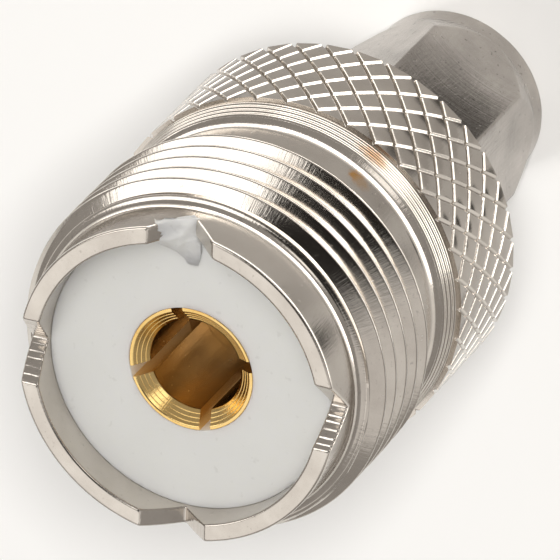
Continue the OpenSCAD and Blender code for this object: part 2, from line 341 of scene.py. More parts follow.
# Two stains of bare brass on the relief and one on the shoulder, each with its centre, inner and outer
# radius, colour and squash
shell_nickel = plated(
    "shell_nickel", bright=(0.67, 0.625, 0.57), dull=(0.58, 0.535, 0.485),
    rough=0.12, lines=9.0, chatter_lines=76.0, depth=0.0016,
    stains=[
        ((6.04, -3.73, 19.45), 0.18, 0.42, (0.66, 0.36, 0.13), (1, 1, 1)),
        ((5.92, -4.05, 19.55), 0.15, 0.5, (0.62, 0.47, 0.33), (1, 1, 1)),
        ((6.45, -4.0, 18.2), 0.2, 0.6, (0.45, 0.30, 0.19), (0.6, 0.6, 1.6)),
    ],
)
# The knurl's nickel is painted darker than the rest of the shell's: painted shade that stands in for the dim
# surroundings its upright pads reflect
knurl_nickel_painted_shade = plated(
    "knurl_nickel_painted_shade", bright=(0.48, 0.44, 0.40), dull=(0.38, 0.345, 0.31),
    rough=0.17, lines=6.0, chatter_lines=30.0, depth=0.003,
)

# Turned core: rear face and chamfer, the core below knurl and thread, the shoulder's rings and the relief
rear_z, rear_chamfer, rear_bore_r, plating = 12.1, 0.3, 4.0, 0.02
grip_low, grip_high, grip_core_r = 12.4, 17.85, 7.66
seat_z, seat_r = 16.8, 3.0
cavity_floor_z, cavity_r, core_top_z = 18.2, 6.22, 26.35
shoulder_r, shoulder_rings, ring_step, ring_rise = 7.68, 4, 0.07, 0.2125
relief_r, relief_arc_r, relief_arc_z = 7.1, 0.6, 19.23
shoulder = []
for k in range(shoulder_rings):
    r, z = shoulder_r - ring_step * k, grip_high + ring_rise * k
    shoulder += [(r, z), (r + 0.02, z + 0.10), (r - 0.05, z + 0.17)]
core = [(rear_bore_r + plating, rear_z), (grip_core_r - rear_chamfer, rear_z), (grip_core_r, grip_low)]
core += [(grip_core_r, grip_high - 0.05), *shoulder, (7.39, 18.70)]
core += [
    (relief_r + relief_arc_r * (1 - math.cos(a)), relief_arc_z - relief_arc_r * math.sin(a))
    for a in (0.82, 0.66, 0.5, 0.33, 0.16, 0.0)
]
core += [(relief_r, core_top_z), (cavity_r, core_top_z), (cavity_r, cavity_floor_z), (seat_r, cavity_floor_z)]
core += [(seat_r, seat_z), (rear_bore_r, seat_z), (rear_bore_r, rear_z + 0.05)]
shell_core = turned("shell_core", eased(core, 0.06), 192)

# Thread, 24 turns per inch, cut as one helix. Rows of the grid follow the helix, so crests stay sharp,
# and both ends are held to their planes and chamfers. The tree's lengths are in metres.
thread_tree, made_in = node_tree("helical_thread", "GeometryNodeTree", [
    ("Geometry", "Geometry", None),
    ("Columns", "Int", 288),
    ("Rows", "Int", 112),
    ("Rows per turn", "Float", 16.0),
    ("Pitch", "Float", 0.001058),
    ("Low end", "Float", 0.0),
    ("High end", "Float", 0.01),
    ("Crest radius", "Float", 0.008),
    ("Root radius", "Float", 0.0073),
    ("Wall radius", "Float", 0.0069),
    ("Chamfer", "Float", 0.00045),
    ("Start angle", "Float", 0.0),
    ("Crest wear", "Float", 0.0),
    ("Material", "Material", None),
], [("Geometry", "Geometry")])
do, put = tools(thread_tree)
rows, pitch = made_in["Rows"], made_in["Pitch"]
low, high = made_in["Low end"], made_in["High end"]
crest, root = made_in["Crest radius"], made_in["Root radius"]
# A unit sheet, with a row for each wall below and above the thread and one to close the ring
sheet = put("GeometryNodeMeshGrid", {
    "Size X": 1.0,
    "Size Y": 1.0,
    "Vertices X": do("ADD", made_in["Columns"], 1.0),
    "Vertices Y": do("ADD", rows, 4.0),
})
spread = put("ShaderNodeSeparateXYZ", {0: put("GeometryNodeInputPosition").outputs[0]}).outputs
share = do("ADD", spread[0], 0.5)
row = do("ROUND", do("MULTIPLY", do("ADD", spread[1], 0.5), do("ADD", rows, 3.0)))
lift = do("DIVIDE", do("SUBTRACT", row, 1.0), made_in["Rows per turn"])
lift = do("ADD", lift, do("SUBTRACT", share, 1.0))
level = do("ADD", low, do("MULTIPLY", lift, pitch))
level = do("MINIMUM", do("MAXIMUM", level, low), high)
# Share of the pitch between crest and root, as a 60 degree thread with flat roots and narrow crests
root_start, flank_width = 0.75, 0.7031
turns_up = do("DIVIDE", do("SUBTRACT", level, low), pitch)
phase = do("FRACT", do("SUBTRACT", do("ADD", turns_up, 4.0), share))
from_crest = do("MULTIPLY", do("ABSOLUTE", do("SUBTRACT", phase, 0.5)), 2.0)
flank = do("DIVIDE", do("SUBTRACT", root_start, from_crest), flank_width)
depth = do("ABSOLUTE", do("SUBTRACT", crest, root))
to_end = do("MINIMUM", do("SUBTRACT", high, level), do("SUBTRACT", level, low))
bevel = do("MAXIMUM", do("SUBTRACT", made_in["Chamfer"], to_end), 0.0)
flank = do("MINIMUM", flank, do("SUBTRACT", 1.0, do("DIVIDE", bevel, depth)))
flank = do("MINIMUM", do("MAXIMUM", flank, 0.0), 1.0)
reach = do("ADD", root, do("MULTIPLY", flank, do("SUBTRACT", crest, root)))
angle = do("ADD", do("MULTIPLY", share, full_turn), made_in["Start angle"])
cosine, sine = do("COSINE", angle), do("SINE", angle)
# Nicks sit at the very crest only
nick_spread, nick_power = 300.0, 30.0
round_place = put("ShaderNodeCombineXYZ", {0: cosine, 1: sine, 2: do("MULTIPLY", level, nick_spread)})
nicks = put("ShaderNodeTexNoise", {
    "Vector": round_place.outputs[0],
    "Scale": 14.0,
    "Detail": 4.0,
    "Roughness": 0.75,
}).outputs[0]
wear = do("MULTIPLY", do("POWER", flank, nick_power), made_in["Crest wear"])
reach = do("ADD", reach, do("MULTIPLY", wear, do("SUBTRACT", do("MULTIPLY", nicks, 2.0), 2.0)))
# The first and last rows run down the low wall, the row before the last runs down the high wall
same_row = 0.4
at_top_wall = do("COMPARE", row, do("ADD", rows, 2.0), same_row)
at_first_row = do("COMPARE", row, 0.0, same_row)
at_low_wall = do("MAXIMUM", at_first_row, do("COMPARE", row, do("ADD", rows, 3.0), same_row))
on_wall = do("MAXIMUM", at_top_wall, at_low_wall)
on_thread = do("SUBTRACT", 1.0, on_wall)
radius = do("ADD", do("MULTIPLY", on_wall, made_in["Wall radius"]), do("MULTIPLY", on_thread, reach))
wall_level = do("ADD", do("MULTIPLY", at_top_wall, high), do("MULTIPLY", at_low_wall, low))
level = do("ADD", wall_level, do("MULTIPLY", on_thread, level))
bent = put("ShaderNodeCombineXYZ", {
    0: do("MULTIPLY", radius, cosine),
    1: do("MULTIPLY", radius, sine),
    2: level,
})
wound = put("GeometryNodeSetPosition", {"Geometry": sheet.outputs[0], "Position": bent.outputs[0]})
welded = put("GeometryNodeMergeByDistance", {"Geometry": wound.outputs[0], "Distance": weld})
end_tree(thread_tree, welded.outputs[0], made_in["Material"])
thread_low, thread_high, thread_crease = 20.9, 26.4, 75
shell_thread = finished(grown(thread_tree, bpy.data.meshes.new("thread"), {
    "Columns": 144,
    "Rows": 224,
    "Rows per turn": 32.0,
    "Low end": thread_low * mm,
    "High end": thread_high * mm,
    "Crest radius": 7.94 * mm,
    "Root radius": 7.30 * mm,
    "Wall radius": 6.9 * mm,
    "Start angle": math.radians(-67),
    "Crest wear": 0.02 * mm,
    "Material": shell_nickel,
}), thread_crease)

# Diamond knurl: one pad between a wide and a fine groove, repeated round the axis and in rows, with the end
# rows cut at the band's ends. A pad runs from -1 to 1 across each groove direction, and the two groove
# profiles give the radius at each line.
pads_round, half_pads_along, knurl_turn = 36, 7, 6
half_turn, half_rise = math.pi / pads_round, (grip_high - grip_low) / half_pads_along
wide_groove = {1.0: 7.725, 0.95: 7.738, 0.90: 7.795, 0.85: 7.855, 0.80: 7.89, 0.74: 7.9}
fine_groove = {1.0: 7.80, 0.95: 7.806, 0.90: 7.828, 0.85: 7.864, 0.80: 7.891, 0.74: 7.9}
pad_lines = [-line for line in wide_groove] + list(wide_groove)[::-1]
pad_verts, pad_faces, side = [], [], len(pad_lines)
for m in pad_lines:
    for n in pad_lines:
        r = min(wide_groove[abs(m)], fine_groove[abs(n)])
        u, v = (m - n) / 2 * half_turn, (m + n) / 2 * half_rise
        pad_verts.append((r * mm * math.cos(u), r * mm * math.sin(u), v * mm))
for i in range(side - 1):
    for j in range(side - 1):
        here = i * side + j
        pad_faces += [(here, here + side, here + 1), (here + side, here + side + 1, here + 1)]
knurl_pad = bpy.data.meshes.new("knurl_pad")
knurl_pad.from_pydata(pad_verts, [], pad_faces)

knurl_tree, knurl_in = node_tree("diamond_knurl", "GeometryNodeTree", [
    ("Pad", "Geometry", None),
    ("Pads round", "Int", 36),
    ("Rows", "Int", 8),
    ("Half turn", "Float", 0.0873),
    ("Half rise", "Float", 0.00078),
    ("Low end", "Float", 0.0),
    ("High end", "Float", 0.005),
    ("Turn", "Float", 0.0),
    ("Material", "Material", None),
], [("Geometry", "Geometry")])
do, put = tools(knurl_tree)
number = put("GeometryNodeInputIndex").outputs[0]
tier = do("FLOOR", do("DIVIDE", do("ADD", number, 0.5), knurl_in["Pads round"]))
column = do("SUBTRACT", number, do("MULTIPLY", tier, knurl_in["Pads round"]))
offset = do("MODULO", do("ADD", tier, 1.0), 2.0)
half_steps = do("ADD", do("MULTIPLY", column, 2.0), offset)
turn = do("ADD", do("MULTIPLY", half_steps, knurl_in["Half turn"]), knurl_in["Turn"])
stand = do("ADD", knurl_in["Low end"], do("MULTIPLY", tier, knurl_in["Half rise"]))
seats = put("GeometryNodePoints", {
    "Count": do("MULTIPLY", knurl_in["Pads round"], knurl_in["Rows"]),
    "Position": put("ShaderNodeCombineXYZ", {2: stand}).outputs[0],
})
pads = put("GeometryNodeInstanceOnPoints", {
    "Points": seats.outputs[0],
    "Instance": knurl_in["Pad"],
    "Rotation": put("ShaderNodeCombineXYZ", {2: turn}).outputs[0],
})
real = put("GeometryNodeRealizeInstances", {"Geometry": pads.outputs[0]})
height = put("ShaderNodeSeparateXYZ", {0: put("GeometryNodeInputPosition").outputs[0]}).outputs[2]
below, above = do("LESS_THAN", height, knurl_in["Low end"]), do("GREATER_THAN", height, knurl_in["High end"])
trimmed = put(
    "GeometryNodeDeleteGeometry",
    {"Geometry": real.outputs[0], "Selection": do("MAXIMUM", below, above)},
    domain="FACE",
)
welded = put("GeometryNodeMergeByDistance", {"Geometry": trimmed.outputs[0], "Distance": weld})
end_tree(knurl_tree, welded.outputs[0], knurl_in["Material"])
shell_knurl = grown(knurl_tree, knurl_pad, {
    "Pads round": pads_round,
    "Rows": half_pads_along + 1,
    "Half turn": half_turn,
    "Half rise": half_rise * mm,
    "Low end": grip_low * mm,
    "High end": grip_high * mm,
    "Turn": math.radians(knurl_turn),
    "Material": shell_nickel,
})
# Both ends of the band run in to a ring inside the core, so that the knurl is a closed ring
knurl_inside_r, knurl_crease = 7.4, 32
bm = bmesh.new()
bm.from_mesh(shell_knurl)
bmesh.ops.remove_doubles(bm, verts=bm.verts, dist=weld)
fresh = bmesh.ops.extrude_edge_only(bm, edges=[e for e in bm.edges if e.is_boundary])["geom"]
for v in (g for g in fresh if isinstance(g, bmesh.types.BMVert)):
    v.co.xy *= knurl_inside_r * mm / v.co.xy.length
bmesh.ops.bridge_loops(bm, edges=[e for e in bm.edges if e.is_boundary])
bm.to_mesh(shell_knurl)
bm.free()
finished(shell_knurl, knurl_crease)

# Lip: a plain ring, cut across by four V notches. The notches keep the cutter's chatter on some walls: each
# has its heading in degrees and the chatter's height on its first and second wall.
lip_in, lip_out, lip_low, lip_top, lip_edge, root_r = cavity_r, 7.0, 26.2, 28.8, 0.09, 0.45
notch_depth, notch_side, notch_steps, crown_steps = 1.45, 1.85, 74, 24
notches = [(0, 0.0, 0.0), (90, 0.014, 0.012), (180, 0.0, 0.006), (270, 0.016, 0.0)]
chatter_pitch, chatter_drift, root_soft, edge_soft = 0.23, 0.3, 0.05, 0.002
lip = []
for heading, before, after in notches:
    for k in range(2 * notch_steps + 1):
        t = notch_side * (k / notch_steps - 1)
        # Root and upper edges of the V are slightly rounded
        cut = notch_depth - math.sqrt(t * t + root_soft ** 2)
        drop = 0.5 * (cut + math.sqrt(cut * cut + edge_soft))
        # The chatter fades out towards the upper edge and the root
        wall = max(0.0, min(1.0, cut / 0.2)) * max(0.0, min(1.0, (abs(t) - 0.15) / 0.1))
        wave = t / chatter_pitch + chatter_drift * noise.noise((t * 2.3, heading, 5.0))
        drop += (before if t < 0 else after) * wall * math.sin(full_turn * wave)
        lip.append((math.radians(heading), t, 0.0, lip_top - drop))
    for k in range(1, crown_steps):
        lip.append((math.radians(heading), notch_side, k / crown_steps, lip_top))


def lip_bearing(r, heading, t, share):
    """Angle of a point that lies t beside the notch's middle, or on a share of the way to the next notch."""
    return heading + math.asin(t / r) * (1 - 2 * share) + share * math.pi / 2


sections = []
for heading, t, share, top in lip:
    near_top, round_top = top - lip_edge, top - lip_edge * 0.3
    outline = [(lip_in, lip_low), (lip_in, top - lip_edge * 2), (lip_in, near_top)]
    outline += [(lip_in + lip_edge * 0.3, round_top), (lip_in + lip_edge, top), (lip_in + lip_edge * 2, top)]
    outline += [((lip_in + lip_out) / 2, top), (lip_out - lip_edge * 2, top), (lip_out - lip_edge, top)]
    outline += [(lip_out - lip_edge * 0.3, round_top), (lip_out, near_top), (lip_out, top - lip_edge * 2)]
    outline += [
        (lip_out + root_r * (1 - math.cos(a)), thread_high + root_r * (1 - math.sin(a)))
        for a in (0.0, 0.25, 0.5, 0.75, 1.0, 1.25, 1.45)
    ]
    outline += [(lip_out + root_r * 0.9, lip_low)]
    section = []
    for r, z in outline:
        bearing = lip_bearing(r, heading, t, share)
        section.append((r * math.cos(bearing), r * math.sin(bearing), z))
    sections.append(section)
shell_lip = lofted("shell_lip", sections, 50)

shell_parts = [(shell_core, 0), (shell_thread, 0), (shell_knurl, 1), (shell_lip, 0)]
piece(
    "socket_shell_plated", joined("socket_shell_plated", shell_parts), [shell_nickel, knurl_nickel_painted_shade],
    "adapter", "socket_shell",
)


# Socket insulator. A white plastic bush, turned from rod and pressed into the cavity. Its face keeps a
# torn flap of plastic that was dragged out into one of the lip's notches, and a glow painted on the wall of
# its bore shows in the contact's slots as painted light, in place of light shining through the plastic.
bush_r, bush_face_z, bush_bore_r, bush_tail_r, bush_tail_bore_r = 6.215, 27.25, 2.74, 2.99, 1.6
plastic, tree, shader = new_material("white_bush_plastic")
do, put = tools(tree)
mark = put("ShaderNodeGroup", {"Lathe lines": 2.5, "Speck size": 2.2}, node_tree=marks).outputs
tone = blend(tree, mark["Cloud"], (0.76, 0.765, 0.75), (0.71, 0.715, 0.695))
tone = blend(tree, do("MULTIPLY", mark["Speck"], 0.25), tone, (0.5, 0.5, 0.47))
tree.links.new(tone, shader.inputs["Base Color"])
tree.links.new(do("ADD", 0.42, do("MULTIPLY", mark["Cloud"], 0.2)), shader.inputs["Roughness"])
shader.inputs["Subsurface Weight"].default_value = 0.6
shader.inputs["Subsurface Radius"].default_value = (1.0, 1.0, 0.9)
shader.inputs["Subsurface Scale"].default_value = 0.9 * mm
# Painted light: a warm emission on the bore's wall below the face stands in for light that shines through the
# plastic into the slots
painted_slot_glow, painted_glow_r, painted_glow_top = (0.15, 0.085, 0.03), 2.78, 27.2
where = put("ShaderNodeSeparateXYZ", {0: put("ShaderNodeTexCoord").outputs["Object"]}).outputs
near_axis = do("LESS_THAN", distance_off_axis(tree, where[0], where[1]), painted_glow_r * mm)
painted_glow_mask = do("MULTIPLY", near_axis, do("LESS_THAN", where[2], painted_glow_top * mm))
tree.links.new(blend(tree, painted_glow_mask, (0, 0, 0), painted_slot_glow), shader.inputs["Emission Color"])
shader.inputs["Emission Strength"].default_value = 1.0
roughen(tree, shader, 0.5, 0.01, do("ADD", mark["Lathe"], mark["Cloud"]))
bush = turned("bush", eased([
    (bush_tail_r, seat_z), (bush_tail_r, cavity_floor_z), (bush_r, cavity_floor_z), (bush_r, bush_face_z),
    (bush_bore_r, bush_face_z), (bush_bore_r, cavity_floor_z), (bush_tail_bore_r, cavity_floor_z),
    (bush_tail_bore_r, seat_z),
], 0.02))

# The flap starts narrow on the bush's face, swells as it climbs into the notch and ends in a frayed edge
flap_root_r, flap_reach, flap_rows, flap_columns = 4.75, 2.32, 28, 16
flap_climb_end, flap_widen_end, flap_start_width = 0.64, 0.5, 0.3
flap_left, left_swell, flap_right, right_swell = -0.85, -0.46, 0.60, -0.30
flap_height, flap_slope, flap_edge_drop = 0.46, -0.66, 0.2
notch_wall_slope, flap_thin = 0.97, 0.02
sections = []
for i in range(flap_rows + 1):
    share = i / flap_rows
    r = flap_root_r + flap_reach * share
    climb = min(1.0, share / flap_climb_end)
    swell = climb * climb * (3 - 2 * climb)
    widen = flap_start_width + (1 - flap_start_width) * min(1.0, share / flap_widen_end)
    left, right = (flap_left + left_swell * swell) * widen, (flap_right + right_swell * swell) * widen
    places = [left + (right - left) * k / flap_columns for k in range(flap_columns + 1)]
    flap = []
    for k, t in enumerate(places):
        rounded = 1 - flap_edge_drop * (2 * k / flap_columns - 1) ** 4
        crown = bush_face_z + 0.01 + swell * (flap_height + flap_slope * t) * rounded
        lumps = 0.10 * noise.noise((t * 3.1, r * 2.3, 4.0)) + 0.06 * noise.noise((t * 9.0, r * 7.0, 1.0))
        fray = 0.12 * noise.noise((t * 6.0, 2.0, 9.0)) + 0.07 * noise.noise((t * 19.0, 5.0, 3.0))
        flap.append((r + fray * share ** 4, -t, max(crown + swell * lumps, bush_face_z - 0.03)))
    for k in range(flap_columns, -1, -1):
        t = places[k]
        bed = bush_face_z - 0.10 if r < cavity_r else bush_face_z + 0.05 + abs(t) * notch_wall_slope
        flap.append((flap[k][0], -t, min(bed, flap[k][2] - flap_thin)))
    sections.append(flap)
flap_mesh = lofted("flap", sections, 60, closed=False)
# Painted light: the flap's plastic is painted much paler than the bush's, so the flap shows lighter than the
# lamps make it
flap_painted_light, tree, shader = new_material("flap_plastic_painted_light")
fibres = placed(tree, "ShaderNodeTexNoise", {
    "Vector": placed(tree, "ShaderNodeTexCoord").outputs["Object"],
    "Scale": 5200.0,
    "Detail": 4.0,
    "Roughness": 0.7,
}).outputs[0]
tree.links.new(blend(tree, fibres, (0.95, 0.955, 0.945), (0.90, 0.905, 0.895)), shader.inputs["Base Color"])
shader.inputs["Roughness"].default_value = 0.75
shader.inputs["Subsurface Weight"].default_value = 0.7
shader.inputs["Subsurface Radius"].default_value = (1.0, 1.0, 0.9)
shader.inputs["Subsurface Scale"].default_value = 0.6 * mm
roughen(tree, shader, 0.7, 0.03, fibres)
piece(
    "socket_insulator_bush", joined("socket_insulator_bush", [(bush, 0), (flap_mesh, 1)]), [plastic, flap_painted_light],
    "adapter", "socket_insulator",
)


# Socket contact. Turned brass with a bright gold plate, sawn into four spring fingers and pressed into
# the bush. Fine rings from the tool show in its funnel, and the gold is painted darker down the drill's bore:
# painted shade deep in the hole.
contact_r, contact_bore_r, slot_half = 2.73, 2.0, 0.25
finger_low, funnel_low, bore_shade_end = 21.6, 26.76, 23.0
contact_gold = plated(
    "contact_gold", bright=(0.90, 0.65, 0.28), dull=(0.80, 0.53, 0.19),
    rough=0.14, lines=14.0, chatter_lines=30.0, depth=0.0015, speck=0.2,
)
# Painted shade: the gold darkens from the foot of the funnel down to 23 mm, where the bore is deep; the plug
# pin, lower down and in the same material, takes the dark tone all over
bore_shade_gold = (0.58, 0.47, 0.33)
tree = contact_gold.node_tree
gold_colour = tree.nodes["Principled BSDF"].inputs["Base Color"]
where = placed(tree, "ShaderNodeTexCoord").outputs["Object"]
height = placed(tree, "ShaderNodeSeparateXYZ", {0: where}).outputs[2]
deep_bore_shade = ramp(tree, height, (funnel_low - 0.01) * mm, bore_shade_end * mm)
tree.links.new(blend(tree, deep_bore_shade, gold_colour.links[0].from_socket, bore_shade_gold), gold_colour)
finger_outline = eased([
    (contact_r, finger_low), (contact_r, bush_face_z),
    (2.58, bush_face_z), (2.46, 27.13), (2.44, 27.14), (2.31, 27.01), (2.29, 27.02), (2.16, 26.89),
    (2.14, 26.90),
    (contact_bore_r, funnel_low), (contact_bore_r, finger_low),
], 0.03)
finger_steps, fingers_round, finger_turn = 40, 4, 15
sections = []
for k in range(finger_steps + 1):
    section = []
    for r, z in finger_outline:
        gap = math.asin(slot_half / r)
        a = gap + (full_turn / fingers_round - 2 * gap) * k / finger_steps
        section.append((r * math.cos(a), r * math.sin(a), z))
    sections.append(section)
finger = lofted("finger", sections, 35, closed=False)
crown_tree, crown_in = node_tree("finger_crown", "GeometryNodeTree", [
    ("Finger", "Geometry", None),
    ("Fingers", "Int", 4),
    ("Turn", "Float", 0.0),
    ("Material", "Material", None),
], [("Geometry", "Geometry")])
do, put = tools(crown_tree)
number = put("GeometryNodeInputIndex").outputs[0]
bearing = do("DIVIDE", do("MULTIPLY", number, full_turn), crown_in["Fingers"])
bearing = do("ADD", bearing, crown_in["Turn"])
fingers = put("GeometryNodeInstanceOnPoints", {
    "Points": put("GeometryNodePoints", {"Count": crown_in["Fingers"]}).outputs[0],
    "Instance": crown_in["Finger"],
    "Rotation": put("ShaderNodeCombineXYZ", {2: bearing}).outputs[0],
})
end_tree(crown_tree, fingers.outputs[0], crown_in["Material"])
crown = grown(crown_tree, finger, {
    "Fingers": fingers_round,
    "Turn": math.radians(finger_turn),
    "Material": contact_gold,
})
stem_top, stem_floor, tail_r, tail_low, tail_bore_r, tail_bore_top = 21.65, 20.45, 1.58, 15.9, 0.64, 17.1
stem = turned("stem", eased([
    (contact_bore_r, stem_top), (contact_r, stem_top), (contact_r, cavity_floor_z), (tail_r, cavity_floor_z),
    (tail_r, tail_low), (tail_bore_r, tail_low), (tail_bore_r, tail_bore_top), (0, tail_bore_top),
    (0, stem_floor), (contact_bore_r, stem_floor),
], 0.05), 96)
piece(
    "socket_contact_gold", joined("socket_contact_gold", [(crown, 0), (stem, 0)]), [contact_gold],
    "adapter", "socket_contact",
)


# Plug body. A turned, nickel-plated tube with a neck for the nut, a groove for the retaining ring and a
# collar, pressed into the shell from behind.
plug_face_z, plug_bore_r, tube_r, neck_r, neck_low = 3.2, 2.05, 2.29, 2.70, 5.2
ring_z, ring_r, groove_r = 6.9, 2.73, 0.36
collar_r, collar_low, press_r = 3.6, 8.7, 3.98
body_nickel = plated(
    "body_nickel", bright=(0.72, 0.67, 0.61), dull=(0.60, 0.555, 0.505),
    rough=0.18, lines=12.0, chatter_lines=30.0, depth=0.002,
)
ring_groove = [
    (ring_r - groove_r * math.sin(a), ring_z - groove_r * math.cos(a))
    for a in (0.15, 0.5, 0.9, 1.3, 1.57, 1.9, 2.3, 2.7, 2.99)
]
piece("plug_body_turned", turned("plug_body_turned", eased([
    (plug_bore_r, plug_face_z), (tube_r, plug_face_z), (tube_r, neck_low), (neck_r, neck_low), *ring_groove,
    (neck_r, collar_low), (collar_r, collar_low), (collar_r, rear_z), (press_r, rear_z), (press_r, seat_z),
    (plug_bore_r, seat_z),
], 0.06), 128), [body_nickel], "adapter", "plug_body")


# Plug insulator. A turned tube of white plastic that fills the plug body and holds the pin on the axis.
# Its rear end takes the tail of the socket contact.
dielectric_r, pin_hole_r = 2.03, 0.635
dielectric, tree, shader = new_material("plug_dielectric_plastic")
do, put = tools(tree)
mark = put("ShaderNodeGroup", {"Lathe lines": 7.0}, node_tree=marks).outputs
tone = blend(tree, mark["Cloud"], (0.86, 0.86, 0.84), (0.78, 0.78, 0.755))
tree.links.new(tone, shader.inputs["Base Color"])
tree.links.new(do("ADD", 0.4, do("MULTIPLY", mark["Lathe"], 0.2)), shader.inputs["Roughness"])
roughen(tree, shader, 0.6, 0.008, mark["Lathe"])
piece("plug_insulator_turned", turned("plug_insulator_turned", eased([
    (pin_hole_r, plug_face_z), (dielectric_r, plug_face_z), (dielectric_r, seat_z),
    (bush_tail_bore_r, seat_z), (bush_tail_bore_r, tail_low), (pin_hole_r, tail_low),
], 0.04), 96), [dielectric], "adapter", "plug_insulator")


# Plug pin. Turned brass with the contact's gold plate and a rounded point, pressed into the tail of the
# socket contact.
pin_tip_z, pin_r, pin_shank_r = 1.2, 0.46, 0.615
piece("plug_pin_gold", turned("plug_pin_gold", eased([
    (0, pin_tip_z), (0.23, pin_tip_z), (0.40, 1.46), (pin_r, 1.75), (pin_r, plug_face_z),
    (pin_shank_r, plug_face_z), (pin_shank_r, tail_bore_top), (0, tail_bore_top),
], 0.04), 64), [contact_gold], "adapter", "plug_pin")


# Gasket. A punched ring of red silicone rubber on the plug's tube. It sits against the neck of the plug
# body, inside the nut.
gasket_in, gasket_low, gasket_edge = 2.31, 4.4, 0.12
rubber, tree, shader = new_material("gasket_silicone")
do, put = tools(tree)
mark = put("ShaderNodeGroup", {"Speck size": 9.0}, node_tree=marks).outputs
tone = blend(tree, mark["Cloud"], (0.50, 0.075, 0.045), (0.36, 0.05, 0.032))
tree.links.new(tone, shader.inputs["Base Color"])
tree.links.new(do("ADD", 0.55, do("MULTIPLY", mark["Cloud"], 0.2)), shader.inputs["Roughness"])
roughen(tree, shader, 0.6, 0.01, mark["Speck"])
piece("gasket_ring", turned("gasket_ring", eased([
    (gasket_in, gasket_low), (neck_r, gasket_low), (neck_r, neck_low), (gasket_in, neck_low),
], gasket_edge), 96), [rubber], "adapter", "gasket")


# Retaining ring. A split ring of bent spring wire, snapped half into the body's groove and half into the
# nut's, so that the nut turns but can't come off.
wire_r, wire_gap_half, wire_steps, wire_sides = 0.28, 0.5, 96, 16
wire_steel = plated(
    "wire_steel", bright=(0.60, 0.58, 0.55), dull=(0.48, 0.46, 0.43),
    rough=0.25, lines=4.0, chatter_lines=30.0, depth=0.002,
)
gap = math.asin(wire_gap_half / ring_r)
sections = []
for k in range(wire_steps + 1):
    a = gap + (full_turn - 2 * gap) * k / wire_steps
    section = []
    for b in (full_turn * j / wire_sides for j in range(wire_sides)):
        r = ring_r + wire_r * math.cos(b)
        section.append((r * math.cos(a), r * math.sin(a), ring_z + wire_r * math.sin(b)))
    sections.append(section)
wire = lofted("retaining_wire", sections, 50, closed=False)
piece("retaining_wire", wire, [wire_steel], "adapter", "retaining_ring")


# Coupling nut. Hexagonal brass bar, turned to a round mouth with a cone behind it, threaded inside and
# plated with nickel. Its flats are rolled bar and scratched from use; flats and turned faces share one plate,
# rougher than the shell's, its colour painted darker as painted shade.
flat_r, hex_turn, nut_top, nut_steps = 4.0, 1.5, 8.4, 288
cone_start, cone_angle, mouth_edge = 1.0, 19, 0.2
corner_r, corner_bevel_z, corner_slope = 4.62, 8.2, 1.73
nut_bore_r, thread_room_r, soft_edge = 2.76, 3.16, 0.03
# Painted shade: the nut's nickel is darker than the shell's, standing in for the shaded floor round its foot
# that its faces reflect
nut_nickel_painted_shade = plated(
    "nut_nickel_painted_shade", bright=(0.50, 0.465, 0.43), dull=(0.39, 0.362, 0.335),
    rough=0.20, lines=5.0, chatter_lines=30.0, depth=0.005, speck=0.8,
)
# Levels lie close together where the cone cuts the flats and at the bevelled top
nut_levels = [0.0, 0.02, 0.05] + [0.1 + 0.05 * k for k in range(60)] + [3.2 + 0.4 * k for k in range(12)]
nut_levels += [7.8, 8.0, 8.1, 8.15, 8.2, 8.25, 8.3, 8.34, 8.37, 8.39, nut_top]


def lesser(a, b, soft):
    """Smaller of two radii, with the edge between them rounded."""
    h = max(0.0, min(1.0, 0.5 + 0.5 * (a - b) / soft))
    return a + (b - a) * h - soft * h * (1 - h)


sections = []
for k in range(nut_steps):
    bearing = full_turn * k / nut_steps
    aside = 30 - abs((math.degrees(bearing) + hex_turn + 30) % 60 - 30)
    this_flat, next_flat = (flat_r / math.cos(math.radians(turn)) for turn in (aside, 60 - aside))
    flat = lesser(this_flat, next_flat, soft_edge)
    outline = []
    for z in nut_levels:
        cone = max(0.0, z - cone_start) * math.tan(math.radians(cone_angle))
        lathe_r = flat_r + cone - max(0.0, mouth_edge - z)
        lathe_r = min(lathe_r, corner_r - max(0.0, z - corner_bevel_z) * corner_slope)
        outline.append((lesser(flat, lathe_r, soft_edge), z))
    outline[0] = (outline[0][0] - 0.03, 0.0)
    outline[-1] = (outline[-1][0] - 0.02, nut_top)
    outline += [(outline[-1][0] - 0.05, nut_top), (2.9, nut_top), (2.8, 8.38), (nut_bore_r, 8.33)]
    outline += [(nut_bore_r, 8.25), (nut_bore_r, 7.3)]
    outline += [
        (ring_r + groove_r * math.cos(a), ring_z + groove_r * math.sin(a))
        for a in (1.4, 0.9, 0.45, 0.0, -0.45, -0.9, -1.4)
    ]
    outline += [(nut_bore_r, 6.5), (nut_bore_r, 5.7), (2.78, 5.6), (3.12, 5.6), (thread_room_r, 5.55)]
    outline += [(thread_room_r, 0.6), (3.18, 0.45), (3.36, 0.02), (3.40, 0.0), (3.5, 0.0)]
    sections.append([(r * math.cos(bearing), r * math.sin(bearing), z) for r, z in outline])
nut_outer = lofted("nut_outer", sections, 50)
# Inside thread, 36 turns per inch
nut_thread = finished(grown(thread_tree, bpy.data.meshes.new("nut_thread"), {
    "Columns": 120,
    "Rows": 128,
    "Rows per turn": 16.0,
    "Pitch": 0.7056 * mm,
    "Low end": 0.4 * mm,
    "High end": 5.2 * mm,
    "Crest radius": 2.86 * mm,
    "Root radius": 3.18 * mm,
    "Wall radius": 3.3 * mm,
    "Chamfer": 0.3 * mm,
    "Start angle": 0.0,
    "Material": nut_nickel_painted_shade,
}), thread_crease)
piece(
    "coupling_nut_hex", joined("coupling_nut_hex", [(nut_outer, 0), (nut_thread, 0)]), [nut_nickel_painted_shade],
    "nut", "coupling_nut",
)


